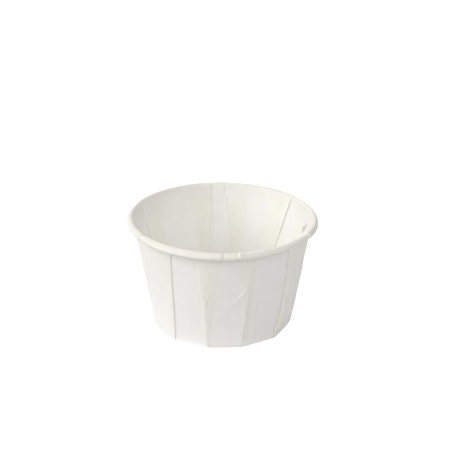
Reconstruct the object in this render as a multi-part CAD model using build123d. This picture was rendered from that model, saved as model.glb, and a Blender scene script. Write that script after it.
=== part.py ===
from build123d import *
import os
from math import acos, asin, atan2, ceil, cos, degrees, hypot, pi, sin, tan

# Driving sizes, in millimetres and degrees
rim_diameter = 58.0  # over the rolled rim
cup_height = 34.2  # from the table to the top of the roll
base_diameter = 42.2  # across the corners of the base
roll_diameter = 2.4  # of the rolled rim's section
roll_turn = 360.0  # how far the paper's edge is rolled, from the wall's own direction
tuck_clearance = 0.1  # the air between the roll's end and its first turn
paper_thickness = 0.12
layer_gap = 0.06  # the air between two folded layers
panel_pairs = 6  # each pair is one outer panel and one inner panel
outer_panel_width = 17.5  # from fold to fold, just under the rim
least_overlap = 0.3  # how wide a pleat still is at its corner of the base
facet_angle = 5.6  # the wall bends to the round rim in flat facets, this wide at most
flats_in_half_turn = 7  # the roll is drawn in short flats, this many to each half turn
first_panel_angle = 90.0  # where the first outer panel faces, from +X

# Worked out from them
rim_radius = rim_diameter / 2
base_radius = base_diameter / 2
roll_radius = roll_diameter / 2
roll_centre_radius = rim_radius - roll_radius
wall_top = cup_height - roll_radius
layer_pitch = paper_thickness + layer_gap
stack = 2 * layer_pitch + paper_thickness
tuck = (stack + tuck_clearance) / 2
half_turn = 180.0
pair_angle = 2 * half_turn / panel_pairs
corner_angle = pair_angle / 4

# The wall's outer face is a tangent from the base's corner to the roll
overhang = roll_centre_radius - base_radius
wall_lean = acos((roll_radius - stack) / hypot(overhang, wall_top)) - atan2(wall_top, overhang)
level_share = 1 / cos(wall_lean)
wall_top_radius = roll_centre_radius - (roll_radius - stack) * level_share

# The round blank is wider than the rim, and the pleats take up the rest of its edge, each one
# twice its own width
blank_radius_at_rim = base_radius + wall_top * level_share
spare_edge = 2 * pi * (blank_radius_at_rim - wall_top_radius)
pleats = 2 * panel_pairs
pleat_overlap = spare_edge / pleats / 2
outer_fold = degrees(asin(outer_panel_width / 2 / wall_top_radius))
inner_fold = outer_fold - degrees(pleat_overlap / wall_top_radius)
fold_width = degrees(paper_thickness / wall_top_radius)

# Each layer's two faces, as depths into the stack from the inside of the cup
inner_layer = (0.0, paper_thickness)
middle_layer = (layer_pitch, layer_pitch + paper_thickness)
outer_layer = (2 * layer_pitch, stack)

# Across a pleat at its corner of the base: its two folds, and the paper's width inside each
pleat_start = -least_overlap / 2
pleat_end = least_overlap / 2
slot_start = pleat_start + paper_thickness
slot_end = pleat_end - paper_thickness


def facets(across, start, end, depth):
    # Ruling lines from one place at the base to the rim's arc from start to end
    count = ceil(abs(end - start) / facet_angle)
    return [(across, start + (end - start) * k / count, depth) for k in range(count + 1)]


def outside_of_pleat():
    # The paper's outside face, from the middle of an outer panel to the middle of an inner one
    return (
        facets(pleat_start, 0, inner_fold, outer_layer[1])
        + facets(pleat_end, inner_fold, outer_fold, outer_layer[1])
        + facets(pleat_end, outer_fold, inner_fold + fold_width, middle_layer[0])
        + [(slot_start, inner_fold + fold_width, middle_layer[0])]
        + [(slot_start, inner_fold + fold_width, inner_layer[1])]
        + facets(pleat_end, inner_fold + fold_width, outer_fold, inner_layer[1])
        + facets(pleat_end, outer_fold, pair_angle / 2, inner_layer[1])[1:]
    )


def inside_of_pleat():
    # The paper's inside face, the same way
    return (
        facets(pleat_start, 0, inner_fold, outer_layer[0])
        + facets(slot_end, inner_fold, outer_fold - fold_width, outer_layer[0])
        + facets(slot_end, outer_fold - fold_width, inner_fold, middle_layer[1])
        + [(pleat_start, inner_fold, middle_layer[1])]
        + [(pleat_start, inner_fold, inner_layer[0])]
        + facets(pleat_end, inner_fold, outer_fold, inner_layer[0])
        + facets(pleat_end, outer_fold, pair_angle / 2, inner_layer[0])[1:]
    )


def rulings(half_pleat, height):
    # The ruling lines all round the cup, as points at the base and at the rim
    lines = []
    for pair in range(panel_pairs):
        centre = first_panel_angle + pair * pair_angle
        mirrored = [(-1, *line) for line in reversed(half_pleat)]
        for hand, across, angle, depth in mirrored + [(1, *line) for line in half_pleat]:
            inset = (stack - depth) * level_share
            corner = Vector(base_radius + height * tan(wall_lean) - inset, hand * across, height)
            foot = corner.rotate(Axis.Z, centre + hand * corner_angle)
            top = Vector(wall_top_radius - inset, 0, wall_top).rotate(Axis.Z, centre + hand * angle)
            lines.append((foot, top))
    return lines


def without_repeats(points):
    return [point for point, last in zip(points, points[-1:] + points[:-1]) if point != last]


def flat_face(points):
    return Face(Wire.make_polygon(points))


def folded_form(half_pleat, height):
    # A closed body of flat facets between the rulings, its floor and its open top
    lines = rulings(half_pleat, height)
    faces = [flat_face(without_repeats([line[end] for line in lines])) for end in (0, 1)]
    for (foot, top), (next_foot, next_top) in zip(lines, lines[1:] + lines[:1]):
        if next_foot != foot:
            faces.append(flat_face([foot, next_foot, top]))
        if next_top != top:
            faces.append(flat_face([next_foot, next_top, top]))
    return Solid(Shell(faces))


def roll_point(depth, turn):
    # The second half turn is tighter, about its own centre, so that the edge tucks in
    across = Vector(cos(wall_lean), 0, -sin(wall_lean))
    centre = Vector(roll_centre_radius, 0, wall_top)
    radius = roll_radius - depth
    if turn > half_turn:
        centre += across * tuck
        radius -= tuck
    return centre - across.rotate(Axis.Y, turn) * radius


def roll_side(depth):
    flats = round(roll_turn / half_turn * flats_in_half_turn)
    foot = Vector(wall_top_radius - (stack - depth) * level_share, 0, wall_top)
    return [foot] + [roll_point(depth, roll_turn * k / flats) for k in range(flats + 1)]


def rolled(depths, start, end):
    section = flat_face(roll_side(depths[0]) + roll_side(depths[1])[::-1])
    return revolve(section, Axis.Z, end - start).rotate(Axis.Z, start)


def rim_roll():
    # The outer layer's roll, the inner layer's roll and what is folded between them at each pleat
    between = (inner_layer[1], outer_layer[0])
    pieces = [
        rolled(outer_layer, -outer_fold, outer_fold),
        rolled(inner_layer, inner_fold, pair_angle - inner_fold),
        rolled(between, inner_fold, outer_fold),
        rolled(between, -outer_fold, -inner_fold),
    ]
    return [spot * piece for spot in PolarLocations(0, panel_pairs, first_panel_angle) for piece in pieces]


def souffle_cup():
    # One folded sheet: the wall and floor between the two forms, and the roll on the wall's top edge
    wall = folded_form(outside_of_pleat(), 0) - folded_form(inside_of_pleat(), paper_thickness)
    return wall + rim_roll()


os.makedirs("parts", exist_ok=True)
export_step(souffle_cup(), "parts/souffle_cup.step")
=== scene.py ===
import bmesh
import bpy
import numpy as np
from mathutils import Matrix, Vector


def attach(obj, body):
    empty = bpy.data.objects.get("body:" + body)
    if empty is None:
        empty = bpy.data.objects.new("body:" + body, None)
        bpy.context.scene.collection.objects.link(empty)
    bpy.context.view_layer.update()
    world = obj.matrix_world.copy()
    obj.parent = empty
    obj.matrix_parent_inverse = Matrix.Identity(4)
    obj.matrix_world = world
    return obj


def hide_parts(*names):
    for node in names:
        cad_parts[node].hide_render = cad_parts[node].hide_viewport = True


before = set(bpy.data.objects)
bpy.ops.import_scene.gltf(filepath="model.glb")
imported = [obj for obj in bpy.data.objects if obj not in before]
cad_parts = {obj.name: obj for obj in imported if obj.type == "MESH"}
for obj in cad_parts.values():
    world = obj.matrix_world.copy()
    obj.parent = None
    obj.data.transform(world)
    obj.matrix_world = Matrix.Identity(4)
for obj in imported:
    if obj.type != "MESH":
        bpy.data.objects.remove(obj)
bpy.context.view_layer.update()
mm = 0.001

# Camera: where the photograph was taken from, with the picture taken as 450 x 450. Lengths in mm,
# angles in degrees, and what lies in the picture in its pixels

shot = {
    "azimuth": -2.9,  # round from the front panel's middle, and so a little to its left
    "elevation": 24.83,
    "distance": 445.8,  # from the middle of the cup
    "focal": 1449.6,  # focal length, in pixels
    "picture": 450.0,
    "aim": (222.5, 267.7),  # the pixel that the cup's middle falls on
    "roll": 0.76,
    "cupMiddle": 16.9,  # its height above the floor
    "sensor": 36.0,
    "nearest": 10.0,  # nothing nearer than this is drawn
}


def directionFrom(azimuth, elevation):
    # Unit vector away from the cup, by the degrees round from its front and the degrees up
    azimuth, elevation = np.radians([azimuth, elevation])
    outwards = np.cos(elevation)
    return Vector((np.sin(azimuth) * outwards, -np.cos(azimuth) * outwards, np.sin(elevation)))


def setUpCamera(values):
    # Looks at the cup's middle along the given direction, then turned so that the middle falls
    # on its own pixel and not on the centre of the picture, and rolled a little
    away = directionFrom(values["azimuth"], values["elevation"])
    side = Vector((0, 0, 1)).cross(away).normalized()
    rise = away.cross(side)
    half = values["picture"] / 2
    across = (values["aim"][0] - half) / values["focal"]
    up = (half - values["aim"][1]) / values["focal"]
    turn = Vector((across, up, -1)).rotation_difference(Vector((0, 0, -1))).to_matrix()
    roll = Matrix.Rotation(np.radians(values["roll"]), 3, "Z")
    rig = Matrix((side, rise, away)).transposed() @ turn @ roll
    place = Vector((0, 0, values["cupMiddle"] * mm)) + away * values["distance"] * mm
    data = bpy.data.cameras.new("camera")
    data.sensor_width = values["sensor"]
    data.lens = values["focal"] / values["picture"] * data.sensor_width
    data.clip_start = values["nearest"] * mm
    camera = bpy.data.objects.new("camera", data)
    camera.matrix_world = Matrix.Translation(place) @ rig.to_4x4()
    bpy.context.scene.collection.objects.link(camera)
    bpy.context.scene.camera = camera


setUpCamera(shot)
print("camera set")

# Colours and nodes


def linear(code):
    # sRGB hex to the linear values that the shader wants, by the curve of the sRGB standard
    value = np.array([int(code[i:i + 2], 16) for i in (1, 3, 5)]) / 255
    value = np.where(value <= 0.04045, value / 12.92, ((value + 0.055) / 1.055) ** 2.4)
    return (*value.tolist(), 1.0)


def addNode(tree, kind, settings=None, links=None):
    # Adds a node, sets its properties or inputs by name, and links its inputs from other sockets
    node = tree.nodes.new(kind)
    for name, value in (settings or {}).items():
        if name in node.inputs:
            node.inputs[name].default_value = value
        else:
            setattr(node, name, value)
    for name, socket in (links or {}).items():
        tree.links.new(socket, node.inputs[name])
    return node


# The cup: one round sheet of paper, folded and rolled. Lengths in mm, angles in degrees round
# from the front, to the right as the camera sees it. Each table of folds has a row for each outer
# panel, with its left outer, left inner, right inner and right outer fold

cupSheet = {
    "rimDiameter": 58.0,
    "height": 34.2,
    "baseDiameter": 42.2,
    "rollDiameter": 2.4,
    "paper": 0.12,
    "layerGap": 0.04,
    "tuck": 0.29,  # how much tighter the second half turn of the roll is
    "rollTurn": 360.0,
    "baseEdge": 0.15,  # radius of the bend between floor and wall
    # stations across each outer panel's left pleat, middle and right pleat, and across the inner
    # panel to the right of it, without those on the folds. There are more where creases are
    "stations": [
        [24, 22, 28, 11],
        [8, 6, 8, 34],
        [8, 6, 8, 11],
        [8, 6, 8, 11],
        [8, 6, 8, 11],
        [8, 6, 8, 11],
    ],
    "middleStations": 2,  # the same across the middle layer of a pleat
    "hiddenStations": 6,  # and across its inner layer
    "bendStations": 6,  # round the edge of a fold
    # rows of points up the wall: from and to which share of its height, and how many
    "wallRows": [[0.0, 0.36, 8], [0.36, 0.66, 30], [0.66, 1.0, 17]],
    "floorRows": 4,
    "edgeRows": 4,
    "rollRows": 21,
    # where the folds end at the rim
    "foldsAtRim": [
        [-18.4, -3.2, 7.4, 17.9],
        [44.5, 57.8, 61.8, 76.0],
        [104.5, 115.0, 124.8, 142.9],
        [160.2, 174.4, 185.4, 200.5],
        [224.8, 243.8, 251.0, 266.0],
        [281.0, 298.3, 303.0, 322.9],
    ],
    # where the left and the right folds of each outer panel start at the base
    "corners": [
        [-13.8, 14.0],
        [46.3, 80.6],
        [110.0, 142.1],
        [163.0, 188.8],
        [228.0, 254.0],
        [289.4, 316.6],
    ],
    # how far a fold's line bows to the right of a straight one, in degrees
    "bow": [
        [0, 0, 0, 0],
        [4.0, 0, -5.0, 0],
        [0, 0, 0, 0],
        [0, 0, 0, 0],
        [0, 0, 0, 0],
        [0, 0, 0, 0],
    ],
    "bowPower": 0.7,  # power of the height that the bow follows: below 1 its widest place is low
    # how far a fold's layers have sprung apart
    "open": [
        [0.22, 0.0, 0.0, 0.42],
        [0.30, 0.0, 0.0, 0.05],
        [0.0, 0.0, 0.04, 0.05],
        [0.0, 0.0, 0.0, 0.05],
        [0.0, 0.30, 0.0, 0.05],
        [0.0, 0.0, 0.0, 0.12],
    ],
    "openReach": 2.3,  # how far from the fold the paper lifts
    "lowPower": 0.6,  # power of the height that puts what is widest a third of the way up
    # how far the bend closes the gap under the fold: 0 leaves it open, 1 closes it, and more
    # presses the edge into the layer below
    "closed": [
        [0.5, 1, 1, 1],
        [1.6, 1, 1, 1],
        [1, 1, 0, 1],
        [1, 1, 0, 1],
        [1, 1, 1, 1],
        [1, 1, 1, 0],
    ],
    "bendSink": 0.09,  # how far a closed bend goes down, so that no crack shows
    "bendEven": 0.35,  # the part of a bend's drop that is even, and not steeper towards its end
    "bendPower": 1.2,  # how soon a bend reaches sideways: above 1 most of it comes first
    # how far a bend reaches sideways at the rim, and by what share further at the base
    "lip": [
        [0.50, 0.15, 0.15, 0.90],
        [0.60, 0.15, 0.15, 0.20],
        [0.20, 0.15, 0.15, 0.20],
        [0.20, 0.30, 0.12, 0.20],
        [0.20, 0.50, 0.15, 0.20],
        [0.20, 0.15, 0.15, 0.12],
    ],
    "lipSpread": 0.7,
    # how far the outside of a panel stands up along the fold lines
    "crest": [
        [0, 0.50, 0.40, 0],
        [0, 0.15, 0.15, 0],
        [0, 0.15, 0.15, 0],
        [0, 0.15, 0.15, 0],
        [0, 0.15, 0.15, 0],
        [0, 0.15, 0.15, 0],
    ],
    "crestPower": 2.5,  # power of the height that it grows with
    "crestFade": 14,  # it ends at the roll, over one part in this many of the height
    # how far, over what length and how far in it rounds off towards its outer folds
    "puff": [
        [0.12, 0, 0, 0.40],
        [0.05, 0, 0, 0.05],
        [0.05, 0, 0, 0.05],
        [0.05, 0, 0, 0.05],
        [0.05, 0, 0, 0.05],
        [0.05, 0, 0, 0.05],
    ],
    "puffLength": 0.6,
    "puffReach": 3.0,
    # how far the inner folds lift on the roll, how far from the fold that reaches, and how far
    # the left and the right ones reach sideways
    "rollLift": [
        [0, 0.16, 0.44, 0],
        [0, 0.20, 0.20, 0],
        [0, 0.0, 0.0, 0],
        [0, 0.0, 0.0, 0],
        [0, 0.0, 0.0, 0],
        [0, 0.10, 0.10, 0],
    ],
    "rollLiftReach": 0.8,
    "rollLips": (0.30, 0.55),
    "rollShown": (0.9, 2.6, 0.6),  # from and to which turn of the roll, and its fade, in radians
    "rollLayers": 5,  # how many layers the roll counts as, for its tint
    # how far each outer panel's single layer stands up between two folds of the roll, how far
    # from the folds, and from which share of the height
    "notchFill": [0.25, 0.04, 0.20, 0.30, 0.15, 0.10],
    "fillReach": 0.9,
    "fillFrom": 0.76,
    # how far an inner panel, one layer, is pressed outwards between its pleats, and how far from
    # the folds that is reached
    "pressed": 0.10,
    "pressedReach": 0.7,
    "pressedFade": 12,  # it ends at the roll, over one part in this many of the height
    "layersPart": 0.6,  # height over which the layers part, up from the base
    # how far all the layers stand out together along a fold, in a ridge like a tent
    "ridge": [
        [0, 0, 0, 0],
        [0.40, 0, 0.30, 0],
        [0, 0, 0, 0],
        [0, 0, 0, 0],
        [0, 0, 0, 0],
        [0, 0, 0, 0],
    ],
    "ridgeReach": 1.1,
    "ridgeGrowth": 4,  # it grows over the first part in this many of the height
    # how round each side of the base is, from flat to arc: the gap left of the front panel, the
    # front panel, the gap right of it and so on round
    "baseRound": [0.35, 0.2, 0.15, 0.2, 0.3, 0.3, 0.3, 0.3, 0.3, 0.3, 0.3, 0.5],
    # where the wall stands out: angle, width, how far at the base, more half way, and at the top
    "swells": [
        [85.0, 60.0, 0.40, 0.12, -0.10],
        [-95.0, 60.0, 0.38, 0.0, 0.26],
        [-48.0, 40.0, 0.20, 0.0, 0.0],
    ],
    # the roll is deeper on the right and shallower right of the front: where, how wide, by what
    # share of its depth, and how far down the wall follows
    "rollDepths": [[92.0, 34.0, 0.30], [42.0, 45.0, -0.20]],
    "rollDepthReach": 7.0,
    # height of the sheet's gentle waves, and for each wave its share of that, how often it goes
    # round, and its turn for each mm of height and at its start, in radians
    "cockle": 0.03,
    "cockleWaves": [[1.0, 7, 0.35, 0.0], [0.8, 11, -0.5, 1.3], [0.6, 19, 0.8, 4.1]],
    # the wall that the creases are drawn on: its radius at the base, and how it widens with height
    "markedWall": (21.1, 0.18),
    # creases, each from one place to another as angle and height, with its height and half width
    "outsideMarks": [
        [-12.3, 19.0, -14.6, 16.4, 0.26, 0.25],
        [-14.6, 16.4, -13.3, 14.5, 0.20, 0.25],
        [-14.0, 17.4, -13.2, 18.6, -0.20, 0.25],
        [14.2, 20.4, 11.8, 19.8, 0.24, 0.25],
        [11.8, 19.8, 9.8, 18.3, 0.26, 0.25],
        [9.8, 18.3, 5.3, 15.4, 0.14, 0.28],
        [0.3, 22.1, 9.1, 16.9, 0.22, 0.25],
        [9.1, 16.9, 14.9, 12.5, 0.30, 0.25],
        [9.1, 16.9, 12.4, 16.2, -0.26, 0.25],
    ],
    "insideMarks": [
        [95.7, 30.0, 97.6, 28.7, 0.40, 0.26],
        [97.6, 28.7, 101.2, 26.4, 0.40, 0.30],
    ],
}


def perFold(rows, turn=0.0):
    # A table's values in order round the cup, with the first panel's again at the end
    values = np.array(rows, float).ravel()
    return np.concatenate([values, values[:4] + turn])


def smooth(share):
    # Three times the share's square less twice its cube, which eases it at 0 and at 1
    share = np.clip(share, 0, 1)
    return share * share * (3 - 2 * share)


def withinHalfTurn(angle):
    # The same direction as an angle of no more than half a turn either way
    return (angle + np.pi) % (2 * np.pi) - np.pi


def lobe(angle, centre, width):
    # 1 at the centre, falling to 0 at the width on either side, as a cosine squared
    off = withinHalfTurn(angle - np.radians(centre))
    return np.cos(np.clip(off / np.radians(width), -1, 1) * np.pi / 2) ** 2


def crowdedShares(count, ends=False):
    # Shares from 0 to 1 that crowd towards both ends, where the folds are: half way between a
    # cosine's even turns and the same eased once more
    share = (1 - np.cos(np.linspace(0, np.pi, count + 2))) / 2
    share = (share + smooth(share)) / 2
    return share if ends else share[1:-1]


def relief(marks, wall, angle, height):
    # Each crease is a straight ridge or groove: its height times a bell curve of the distance
    # from its line, which is measured along the wall
    baseRadius, widening = wall
    total = np.zeros_like(angle + height)
    for fromAngle, fromHeight, toAngle, toHeight, rise, halfWidth in marks:
        radius = baseRadius + fromHeight * widening
        along = np.array([np.radians(toAngle - fromAngle) * radius, toHeight - fromHeight])
        across = withinHalfTurn(angle - np.radians(fromAngle)) * radius
        up = height - fromHeight
        share = np.clip((across * along[0] + up * along[1]) / (along @ along), 0, 1)
        distance = np.hypot(across - share * along[0], up - share * along[1])
        total = total + rise * np.exp(-(distance / halfWidth) ** 2)
    return total


def edgeStations(cup, depths, closed):
    # Stations along the folded edge. Columns: fold line before, fold line after, share between
    # them, depth in the stack from the inside, nearest free fold, how much of that fold's opening
    # it takes outwards, how far round the fold's bend it is, whether it lies in an outer panel's
    # single layer (1), an inner panel's (-1) or a pleat (0), and how many layers lie together
    inner, middle, outer = depths
    slack = (1 - closed) / 2  # how much of a fold's opening its middle layer takes part in
    runs = []

    def layer(a, b, share, depth, near, lift, single):
        plies = 3 if single == 0 else 1
        columns = np.zeros((len(share), 9)) + [a, b, 0, depth, near, lift, 0, single, plies]
        columns[:, 2] = share
        runs.append(columns)

    def bend(line, fromDepth, toDepth, side, lift):
        # The edge of a fold. From the layer that is seen it drops to the one under it, partly
        # evenly and partly with the square of the turn, and reaches further and further sideways
        turn = np.linspace(0, 1, cup["bendStations"] + 1)[1:]
        columns = np.zeros((len(turn), 9)) + [line, line, 0, 0, line, 0, 0, 0, 3]
        seen, under = (toDepth, fromDepth) if fromDepth == middle else (fromDepth, toDepth)
        under = under + np.sign(under - seen) * closed[line] * cup["bendSink"]
        drop = cup["bendEven"] * turn + (1 - cup["bendEven"]) * turn ** 2
        columns[:, 3] = seen + (under - seen) * drop
        columns[:, 5] = lift * (1 - turn * (1 + closed[line]) / 2)
        columns[:, 6] = side * (1 - (1 - turn) ** cup["bendPower"])
        runs.append(columns[::-1] if fromDepth == middle else columns)

    firstHalf, lastHalf = np.array_split(crowdedShares(cup["middleStations"], True), 2)
    hidden = crowdedShares(cup["hiddenStations"], True)
    for k, (left, centre, right, between) in enumerate(cup["stations"]):
        # The fold lines of this outer panel, then the two left ones of the next
        leftOuter, leftInner, rightInner, rightOuter, nextOuter, nextInner = range(4 * k, 4 * k + 6)
        layer(leftOuter, leftInner, crowdedShares(left, True), outer, leftOuter, 1, 0)
        layer(leftInner, rightInner, crowdedShares(centre), outer, rightInner, 0, 1)
        layer(rightInner, rightOuter, crowdedShares(right, True), outer, rightOuter, 1, 0)
        bend(rightOuter, outer, middle, 1, 1)
        layer(rightOuter, rightInner, firstHalf, middle, rightOuter, slack[rightOuter], 0)
        layer(rightOuter, rightInner, lastHalf, middle, rightInner, -slack[rightInner], 0)
        bend(rightInner, middle, inner, -1, -1)
        layer(rightInner, rightOuter, hidden, inner, rightInner, -1, 0)
        layer(rightOuter, nextOuter, crowdedShares(between), inner, rightOuter, 0, -1)
        layer(nextOuter, nextInner, hidden, inner, nextInner, -1, 0)
        bend(nextInner, inner, middle, 1, -1)
        layer(nextInner, nextOuter, firstHalf, middle, nextInner, -slack[nextInner], 0)
        layer(nextInner, nextOuter, lastHalf, middle, nextOuter, slack[nextOuter], 0)
        bend(nextOuter, middle, outer, -1, 1)
    return np.concatenate(runs).T[:, :, None]


def foldedSheet(cup):
    # The sheet as a grid. Its stations follow the folded edge round the cup, with three layers in
    # each pleat, and its rows go from the middle of the floor up the wall and round the roll. Each
    # point is worked out as its distance from the cup's axis, its angle round it and its height
    panels = len(cup["corners"])
    pitch = cup["paper"] + cup["layerGap"]
    stack = 2 * pitch + cup["paper"]
    half = cup["paper"] / 2
    inner, middle, outer = half, half + pitch, half + 2 * pitch
    rimRadius = cup["rimDiameter"] / 2
    rollRadius = cup["rollDiameter"] / 2
    rollCentre = rimRadius - rollRadius
    wallTop = cup["height"] - rollRadius
    baseRadius = cup["baseDiameter"] / 2

    # The wall leans out from the edge of the base so that it runs straight on into the roll
    reach = rollCentre - baseRadius
    lean = np.arccos((rollRadius - stack) / np.hypot(reach, wallTop)) - np.arctan2(wallTop, reach)
    level = 1 / np.cos(lean)  # how far across a leaning layer of thickness 1 is, measured level
    topRadius = rollCentre - (rollRadius - stack) * level

    atRim = np.radians(perFold(cup["foldsAtRim"], 360))
    atBase = np.radians(perFold([[left, left, right, right] for left, right in cup["corners"]], 360))
    bows = np.radians(perFold(cup["bow"]))
    opens, lips, crests, puffs = [perFold(cup[name]) for name in ("open", "lip", "crest", "puff")]
    lifts, ridges, closed = [perFold(cup[name]) for name in ("rollLift", "ridge", "closed")]
    fills = perFold([[fill] * 4 for fill in cup["notchFill"]])

    stations = edgeStations(cup, (inner, middle, outer), closed)
    a, b, share, depth, near, lift, bulge, single, plies = stations
    a, b, near = a.astype(int), b.astype(int), near.astype(int)
    isOuter, isInner = (depth == outer) & (bulge == 0), (depth == inner) & (bulge == 0)

    # Heights up the wall, from the top of the bend at its foot
    bendTurn = np.pi / 2 - lean
    edgeRadius = cup["baseEdge"]
    edgeIn = edgeRadius * np.tan(bendTurn / 2)
    edgeTop = half + edgeRadius * (1 - np.cos(bendTurn))
    rise = [np.linspace(low, high, count, endpoint=False) for low, high, count in cup["wallRows"]]
    rise = np.concatenate([*rise, [1.0]])
    top = wallTop + np.sin(lean) * (rollRadius - depth)
    z = edgeTop + rise[None, :] * (top - edgeTop)
    t = np.clip(z / wallTop, 0, 1)

    def azimuthOf(lines, height):
        # A fold is a straight line from its corner of the base to its place on the rim, bowed a
        # little, and this is that line's direction round the cup at the height
        t = np.clip(height / wallTop, 0, 1)
        place = (1 - t) * baseRadius + t * topRadius * np.exp(1j * (atRim[lines] - atBase[lines]))
        return atBase[lines] + np.angle(place) + bows[lines] * np.sin(np.pi * t ** cup["bowPower"])

    def envelope(azimuth, height):
        # The outside of the stack: a section with its corners on the outer folds and sides that
        # are flat at the base, blended into a circle on the way up, with the swells and the
        # ridges added. A ridge falls off as an exponential of the distance from its fold
        t = np.clip(height / wallTop, 0, 1)
        corner = baseRadius + height / wallTop * (topRadius - baseRadius)
        lines = np.array([4 * k + side for k in range(panels + 1) for side in (0, 3)])
        corners = azimuthOf(lines[:, None, None], height[None])
        corners = np.concatenate([corners[2 * panels - 1:2 * panels] - 2 * np.pi, corners])
        index = (azimuth[None] >= corners).sum(0).clip(1, len(corners) - 1)
        low = np.take_along_axis(corners, index[None] - 1, 0)[0]
        high = np.take_along_axis(corners, index[None], 0)[0]
        flat = np.cos((high - low) / 2) / np.cos(azimuth - (low + high) / 2)
        roundness = np.array(cup["baseRound"])[(index - 1) % (2 * panels)]
        roundness = roundness + (1 - roundness) * t
        radius = corner * ((1 - roundness) * flat + roundness)
        for centre, width, atFoot, halfWay, atTop in cup["swells"]:
            swell = atTop + (atFoot - atTop) * (1 - t) + halfWay * np.sin(np.pi * t)
            radius = radius + swell * lobe(azimuth, centre, width)
        for line in np.flatnonzero(ridges[:4 * panels]):
            offset = np.abs(withinHalfTurn(azimuth - azimuthOf(line, height))) * topRadius
            ridge = ridges[line] * np.exp(-offset / cup["ridgeReach"])
            radius = radius + ridge * np.clip(cup["ridgeGrowth"] * t, 0, 1)
        return radius

    def azimuthAt(height):
        # Each station keeps its share of the way between its two fold lines
        return (1 - share) * azimuthOf(a, height) + share * azimuthOf(b, height)

    # Depth in the stack: the layers part on the way up, folds spring open, panels stand up along
    # their folds and round off beside them, and inner panels are pressed outwards
    azimuth = azimuthAt(z)
    parted = smooth(z / cup["layersPart"])
    lowBulge = np.sin(np.pi * t ** cup["lowPower"])
    away = np.abs(azimuth - azimuthOf(near, z)) * topRadius
    toEdge = np.minimum(*[np.abs(azimuth - azimuthOf(line, z)) for line in (a, b)]) * topRadius
    spring = opens[near] * lowBulge * np.exp(-(away / cup["openReach"]) ** 2)
    sunk = (single < 0) * smooth(toEdge / cup["pressedReach"]) * cup["pressed"]
    sunk = sunk * np.clip((1 - t) * cup["pressedFade"], 0, 1)
    filled = fills[a] * (single > 0) * smooth(toEdge / cup["fillReach"])
    filled = filled * smooth((t - cup["fillFrom"]) / (1 - cup["fillFrom"]))
    falling = np.where(single > 0, 1 - share, 1 - share ** 2)
    rising = np.where(single > 0, share, 1 - (1 - share) ** 2)
    crest = (falling * crests[a] + rising * crests[b]) * t ** cup["crestPower"]
    crest = crest * np.clip((1 - t) * cup["crestFade"], 0, 1)
    puff = puffs[near] * (lift == 1) * (1 - np.exp(-away / cup["puffLength"]))
    puff = puff * np.exp(-(away / cup["puffReach"]) ** 2) * lowBulge
    marks = relief(cup["outsideMarks"], cup["markedWall"], azimuth, z)
    pinched = isInner * relief(cup["insideMarks"], cup["markedWall"], azimuth, z)
    layerDepth = depth + spring * lift + sunk - filled + isOuter * (crest + puff + marks) - pinched
    layerDepth = outer - (outer - layerDepth) * parted

    # The wall, with waves so low that they only show in its shading
    waves = cup["cockle"] * sum(
        size * np.sin(around * azimuth + perMm * z + start)
        for size, around, perMm, start in cup["cockleWaves"]
    ) * np.sin(np.pi * t)
    wallRadius = envelope(azimuth, z) - (stack - layerDepth) * level + waves
    spread = parted * (1 + cup["lipSpread"] * (1 - t))
    wallAngle = azimuth + bulge * lips[near] * spread / wallRadius

    # Floor and the bend at its edge, where every layer is one and no fold is bowed
    ground = np.zeros((len(depth), 1)) + half
    cornerAngle = azimuthAt(0 * ground)
    flatTo = envelope(cornerAngle, ground) - half * level - edgeIn
    floorShare = np.linspace(0, 1, cup["floorRows"])[None, :]
    turn = np.linspace(0, bendTurn, cup["edgeRows"] + 2)[None, 1:-1]
    floorRadius = np.concatenate([floorShare * flatTo, flatTo + edgeRadius * np.sin(turn)], 1)
    floorZ = np.concatenate([0 * floorShare, edgeRadius * (1 - np.cos(turn))], 1) + half + 0 * depth
    floorAngle = cornerAngle + 0 * floorRadius

    # The roll: half a turn about the roll's centre, then half a turn with a smaller radius
    # whose centre has moved outwards by the difference. Inner folds lift on its outside
    rimAzimuth, rimWall, rimZ = azimuth[:, -1:], wallRadius[:, -1:], z[:, -1:]
    rolled = np.linspace(0, np.radians(cup["rollTurn"]), cup["rollRows"] + 1)[None, 1:]
    tighter = (rolled > np.pi) * cup["tuck"]
    shownFrom, shownTo, fade = cup["rollShown"]
    shown = smooth((rolled - shownFrom) / fade) * (1 - smooth((rolled - shownTo) / fade))
    lifted = lifts[near] * lift * np.exp(-(away[:, -1:] / cup["rollLiftReach"]) ** 2) * shown
    turned = rollRadius - layerDepth[:, -1:] - lifted - tighter
    outwards = rollCentre + tighter * np.cos(lean) - turned * np.cos(lean + rolled)
    upwards = wallTop - tighter * np.sin(lean) + turned * np.sin(lean + rolled)
    rollLips = np.tile([0, *cup["rollLips"], 0], panels + 1)
    lip = lips[near] + (rollLips[near] - lips[near]) * shown * (lifts[near] > 0)
    rollAngle = rimAzimuth + bulge * lip / rimWall

    # Where the wall stands out at the top the roll is narrower, and its depth varies round the cup
    swellTop = sum(row[4] * lobe(rimAzimuth, row[0], row[1]) for row in cup["swells"])
    narrower = 1 - swellTop / (rimRadius - rimWall + swellTop)
    outwards = rimRadius - (rimRadius - outwards) * narrower
    deeper = sum(row[2] * lobe(rimAzimuth, row[0], row[1]) for row in cup["rollDepths"])
    upwards = upwards - deeper * (cup["height"] - upwards)
    z = z - deeper * (cup["height"] - rimZ) * smooth(1 - (rimZ - z) / cup["rollDepthReach"])

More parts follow.
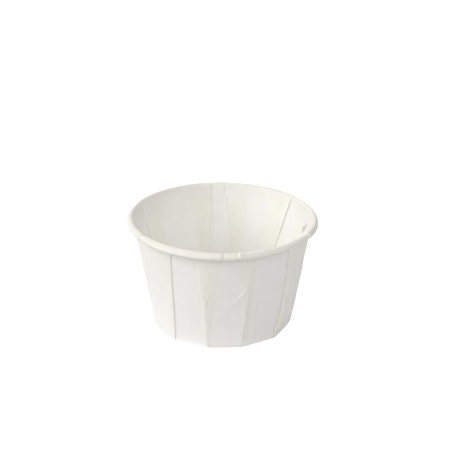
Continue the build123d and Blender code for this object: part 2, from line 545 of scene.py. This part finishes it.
    radial = np.concatenate([floorRadius, wallRadius, outwards], 1)
    angle = np.concatenate([floorAngle, wallAngle, rollAngle], 1)
    height = np.concatenate([floorZ, z, upwards], 1)
    rollLayers = cup["rollLayers"] + 0 * outwards
    layers = np.concatenate([1 + 0 * floorRadius, plies + 0 * wallRadius, rollLayers], 1)
    # the height of the inside pinches is also kept, for the painted shade in the crease
    pinched = np.concatenate([0 * floorRadius, pinched, 0 * outwards], 1)
    points = np.stack([radial * np.sin(angle), -radial * np.cos(angle), height], 2) * mm
    return points, {"layers": layers, "pinched": pinched}


joinDistance = 0.002 * mm  # points that are nearer to each other than this become one


def meshFromGrid(name, points, values):
    # A grid closed in its first direction becomes quads, each of the values is kept for every
    # point under its own name, and points that fall together are joined
    stations, rows = points.shape[:2]
    number = np.arange(stations * rows).reshape(stations, rows)
    following = np.roll(number, -1, 0)
    quads = np.stack([number[:, :-1], following[:, :-1], following[:, 1:], number[:, 1:]], 2)
    quads = quads.reshape(-1, 4)
    mesh = bpy.data.meshes.new(name)
    mesh.vertices.add(number.size)
    mesh.vertices.foreach_set("co", points.reshape(-1))
    mesh.loops.add(quads.size)
    mesh.loops.foreach_set("vertex_index", quads.reshape(-1))
    mesh.polygons.add(len(quads))
    mesh.polygons.foreach_set("loop_start", np.arange(len(quads)) * 4)
    mesh.update(calc_edges=True)
    for key, value in values.items():
        mesh.attributes.new(key, "FLOAT", "POINT").data.foreach_set("value", value.reshape(-1))
    joined = bmesh.new()
    joined.from_mesh(mesh)
    bmesh.ops.remove_doubles(joined, verts=joined.verts, dist=joinDistance)
    joined.to_mesh(mesh)
    joined.free()
    mesh.shade_smooth()
    piece = bpy.data.objects.new(name, mesh)
    bpy.context.scene.collection.objects.link(piece)
    return piece


paperCup = meshFromGrid("paperCup", *foldedSheet(cupSheet))
thick = paperCup.modifiers.new("thickness", "SOLIDIFY")
thick.thickness = cupSheet["paper"] * mm
thick.offset = 0
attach(paperCup, "root")
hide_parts("souffle_cup")
print("cup folded:", len(paperCup.data.polygons), "faces")

# Treated cup paper: bleached pulp, machine made, sized against grease and water. Matt, a little
# warm, with faint clouds of fibres. One layer lets light through, three together are denser and
# creamier, and the tight roll is the creamiest. Where the paper is pinched, a painted shade darkens it

cupPaper = {
    "oneLayer": "#FAF8F4",
    "threeLayers": "#FAF8F0",
    "roll": "#FAF6EC",
    "roughness": (0.56, 0.68),
    "ior": 1.45,
    "subsurface": 0.12,
    "subsurfaceDepth": 0.25,  # mm
    "cloud": 3.5,  # mm across
    "cloudRange": (0.3, 0.7),  # the part of the noise that takes the clouds from end to end
    "cloudShade": 0.03,
    "pinchPaintedShade": 1.2,  # painted shade: how much darker the colour is painted where the paper is pinched, for the shadow in the crease, for each mm of height
    "fibre": 0.7,  # mm, coarser than real fibres, so that it shows
    "fibreHeight": 0.006,  # mm
}


def readAttribute(tree, name):
    return addNode(tree, "ShaderNodeAttribute", {"attribute_name": name}).outputs["Fac"]


def mapped(tree, value, low, high, toLow, toHigh):
    # The value brought from one range to another, and kept within it
    limits = {"From Min": low, "From Max": high, "To Min": toLow, "To Max": toHigh}
    return addNode(tree, "ShaderNodeMapRange", limits, {"Value": value}).outputs[0]


def multiplied(tree, colour, shade):
    sockets = {"Color1": colour, "Color2": shade}
    return addNode(tree, "ShaderNodeMixRGB", {"blend_type": "MULTIPLY", "Fac": 1.0}, sockets).outputs[0]


def noise(tree, size, detail, roughness, distortion=0.0):
    # Fractal noise on the piece itself, whose largest features are about the size in mm
    place = addNode(tree, "ShaderNodeTexCoord").outputs["Object"]
    settings = {"Scale": 1 / (size * mm), "Detail": detail, "Roughness": roughness, "Distortion": distortion}
    return addNode(tree, "ShaderNodeTexNoise", settings, {"Vector": place}).outputs["Fac"]


def makeCupPaper(values, rollLayers):
    # The colour goes by how many layers lie together, from one past three to the roll, times the
    # clouds, times a painted shade where the paper is pinched, which stands in for the shadow in the crease
    material = bpy.data.materials.new("treatedCupPaper")
    material.use_nodes = True
    tree = material.node_tree
    tree.nodes.clear()
    dense = mapped(tree, readAttribute(tree, "layers"), 1, rollLayers, 0, 1)
    tint = addNode(tree, "ShaderNodeValToRGB", links={"Fac": dense})
    stops = tint.color_ramp.elements
    stops[0].color = linear(values["oneLayer"])
    stops[1].color = linear(values["roll"])
    stops.new((3 - 1) / (rollLayers - 1)).color = linear(values["threeLayers"])
    cloud = noise(tree, values["cloud"], detail=4.0, roughness=0.6)
    shade = mapped(tree, cloud, *values["cloudRange"], 1 - values["cloudShade"], 1)
    # painted shade: the colour is darkened by the pinch's height, for the shadow in the crease
    paintedShade = mapped(tree, readAttribute(tree, "pinched"), 0, 1, 1, 1 - values["pinchPaintedShade"])
    colour = multiplied(tree, multiplied(tree, tint.outputs[0], shade), paintedShade)
    rough = mapped(tree, cloud, *values["cloudRange"], *values["roughness"])
    fibre = noise(tree, values["fibre"], detail=3.0, roughness=0.65, distortion=0.4)
    bumpSettings = {"Strength": 1.0, "Distance": values["fibreHeight"] * mm}
    bump = addNode(tree, "ShaderNodeBump", bumpSettings, {"Height": fibre}).outputs[0]
    surface = addNode(tree, "ShaderNodeBsdfPrincipled", {
        "IOR": values["ior"],
        "Subsurface Weight": values["subsurface"],
        "Subsurface Scale": values["subsurfaceDepth"] * mm,
        "Subsurface Radius": (1.0, 1.0, 1.0),
    }, {"Base Color": colour, "Roughness": rough, "Normal": bump})
    addNode(tree, "ShaderNodeOutputMaterial", links={"Surface": surface.outputs[0]})
    return material


paperCup.data.materials.append(makeCupPaper(cupPaper, cupSheet["rollLayers"]))
print("paper made")

# Studio: a white floor that keeps a faint shadow, a background that is white to the camera, and
# soft boxes round the cup, none of them overhead

studio = {
    "surroundings": 0.0,  # light from all round that the background adds to the soft boxes
    # each soft box as its direction round from the front, height above the floor in degrees,
    # strength and how wide it looks in degrees
    "softBoxes": {
        "left": (-90.0, 30.0, 1.21, 45.0),
        "leftFront": (-60.0, 30.0, 0.95, 45.0),
        "front": (0.0, 50.0, 0.54, 45.0),
        "rightFront": (30.0, 30.0, 0.76, 45.0),
        "right": (90.0, 30.0, 0.34, 45.0),
        "back": (180.0, 30.0, 1.02, 45.0),
    },
    "floorColour": "#E4E4E4",
    "floorLift": 0.75,  # white that the floor gives off by itself, only to the camera
    "floorReach": 3.0,  # m, each way from the cup
}
white = {"Color": (1, 1, 1, 1)}


def seenDirectly(tree):
    # 1 for what the camera sees, straight or by a reflection or through glass
    path = addNode(tree, "ShaderNodeLightPath")
    seen = path.outputs["Is Camera Ray"]
    for ray in ("Is Glossy Ray", "Is Transmission Ray"):
        either = addNode(tree, "ShaderNodeMath", {"operation": "MAXIMUM"})
        tree.links.new(seen, either.inputs[0])
        tree.links.new(path.outputs[ray], either.inputs[1])
        seen = either.outputs[0]
    return seen


def joinShaders(tree, kind, *sockets):
    # A Mix or an Add node has inputs of the same name, so the sockets go into them in order
    node = addNode(tree, kind)
    for inlet, socket in zip(node.inputs, sockets):
        tree.links.new(socket, inlet)
    return node.outputs[0]


def makeBackdrop(values):
    # A sheet that looks almost as white as the background and matt, and keeps a faint shadow. The
    # cup gets only the light that its plain colour throws back
    material = bpy.data.materials.new("paperBackdrop")
    material.use_nodes = True
    tree = material.node_tree
    tree.nodes.clear()
    plain = addNode(tree, "ShaderNodeBsdfDiffuse", {"Color": linear(values["floorColour"])}).outputs[0]
    lift = addNode(tree, "ShaderNodeEmission", {**white, "Strength": values["floorLift"]}).outputs[0]
    bright = joinShaders(tree, "ShaderNodeAddShader", plain, lift)
    both = joinShaders(tree, "ShaderNodeMixShader", seenDirectly(tree), plain, bright)
    addNode(tree, "ShaderNodeOutputMaterial", links={"Surface": both})
    return material


def setUpStudio(values):
    # White background for the camera alone, a sun for each soft box, and the floor
    scene = bpy.context.scene
    scene.view_settings.view_transform = "Standard"
    world = bpy.data.worlds.new("surroundings")
    scene.world = world
    world.use_nodes = True
    tree = world.node_tree
    tree.nodes.clear()
    room = addNode(tree, "ShaderNodeBackground", {**white, "Strength": values["surroundings"]})
    shown = addNode(tree, "ShaderNodeBackground", {**white, "Strength": 1.0})
    both = joinShaders(tree, "ShaderNodeMixShader", seenDirectly(tree), room.outputs[0], shown.outputs[0])
    addNode(tree, "ShaderNodeOutputWorld", links={"Surface": both})

    for name, (azimuth, elevation, strength, width) in values["softBoxes"].items():
        lamp = bpy.data.lights.new(name, "SUN")
        lamp.energy = strength
        lamp.angle = np.radians(width)
        box = bpy.data.objects.new(name, lamp)
        box.rotation_mode = "QUATERNION"
        box.rotation_quaternion = directionFrom(azimuth, elevation).to_track_quat("Z", "Y")
        scene.collection.objects.link(box)

    mesh = bpy.data.meshes.new("floor")
    reach = values["floorReach"]
    corners = [(-reach, -reach, 0), (reach, -reach, 0), (reach, reach, 0), (-reach, reach, 0)]
    mesh.from_pydata(corners, [], [(0, 1, 2, 3)])
    floor = bpy.data.objects.new("floor", mesh)
    scene.collection.objects.link(floor)
    mesh.materials.append(makeBackdrop(values))


setUpStudio(studio)
print("studio set")
